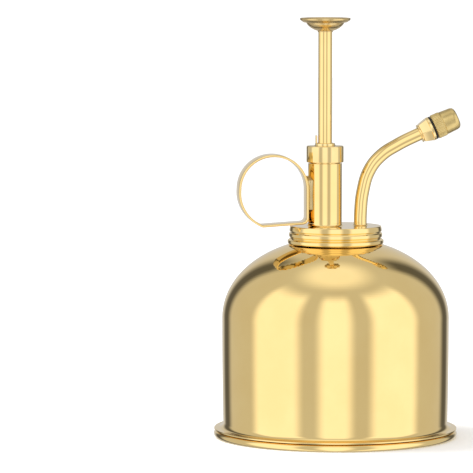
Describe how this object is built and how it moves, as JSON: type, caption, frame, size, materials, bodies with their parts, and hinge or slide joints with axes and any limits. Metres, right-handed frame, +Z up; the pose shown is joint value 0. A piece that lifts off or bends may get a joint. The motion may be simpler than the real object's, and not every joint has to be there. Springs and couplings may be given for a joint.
{
  "type": "hand mister",
  "caption": "Polished brass hand mister: domed round water tank, screw-off hand pump with thumb plate and finger ring, and a curved spout with a screw nozzle.",
  "frame": {"origin": "on the tank's vertical axis at the ground, at the bottom centre of the bounding box", "axes": "+Z up along the tank's axis, +X towards the spout and nozzle, -X towards the finger ring"},
  "size_m": [0.0894, 0.088, 0.1515],
  "materials": {
    "polished_brass": "polished",
    "turned_brass": "satin",
    "spring_steel": "satin",
    "ball_steel": "polished",
    "black_rubber": "matte",
    "red_fibre": "matte"
  },
  "bodies": {
    "tank": {"tank_shell": "polished_brass", "base_plate": "polished_brass", "neck_ring": "polished_brass"},
    "gasket": {"neck_gasket": "black_rubber"},
    "washer": {"slip_washer": "red_fibre"},
    "head": {"screw_cap": "polished_brass", "pump_barrel": "polished_brass", "gland_cap": "turned_brass", "gland_packing": "black_rubber", "gland_bush": "turned_brass", "return_spring": "spring_steel", "foot_valve": "turned_brass", "ball_pin": "turned_brass", "finger_ring": "polished_brass", "spout_tube": "polished_brass", "nozzle_base": "turned_brass", "swirl_core": "turned_brass"},
    "plunger": {"thumb_plate": "turned_brass", "plunger_rod": "polished_brass", "piston": "turned_brass", "piston_ring": "black_rubber", "piston_nut": "turned_brass"},
    "inlet_valve": {"inlet_ball": "ball_steel"},
    "outlet_valve": {"outlet_ball": "ball_steel"},
    "nozzle_ring": {"nozzle_seal": "black_rubber"},
    "nozzle": {"nozzle_cap": "turned_brass"}
  },
  "joints": [
    {"name": "head_lift_off", "type": "slide", "parent": "tank", "child": "gasket", "axis": [0, 0, 1], "range_m": [0, 0.08]},
    {"name": "head_rise", "type": "slide", "parent": "gasket", "child": "washer", "axis": [0, 0, 1], "range_m": [0, 0.00275]},
    {"name": "head_turn", "type": "hinge", "parent": "washer", "child": "head", "pos_m": [0, 0, 0.0738], "axis": [0, 0, 1], "range_deg": [0, 450]},
    {"name": "plunger_press", "type": "slide", "parent": "head", "child": "plunger", "axis": [0, 0, -1], "range_m": [0, 0.035], "stiffness_N_per_m": 200, "springref_m": -0.008, "deforming": ["return_spring"]},
    {"name": "inlet_lift", "type": "slide", "parent": "head", "child": "inlet_valve", "axis": [0, 0, 1], "range_m": [0, 0.0006]},
    {"name": "outlet_lift", "type": "slide", "parent": "head", "child": "outlet_valve", "axis": [0, 0, 1], "range_m": [0, 0.0015]},
    {"name": "nozzle_travel", "type": "slide", "parent": "head", "child": "nozzle_ring", "axis": [0.9171, 0, 0.3987], "range_m": [0, 0.00105]},
    {"name": "nozzle_turn", "type": "hinge", "parent": "nozzle_ring", "child": "nozzle", "pos_m": [0.0305, 0, 0.1095], "axis": [0.9171, 0, 0.3987], "range_deg": [0, 540]}
  ],
  "couplings": [
    {"joint": "head_turn", "follows": "head_rise", "rad_per_m": 2856},
    {"joint": "nozzle_turn", "follows": "nozzle_travel", "rad_per_m": 8975.9}
  ]
}
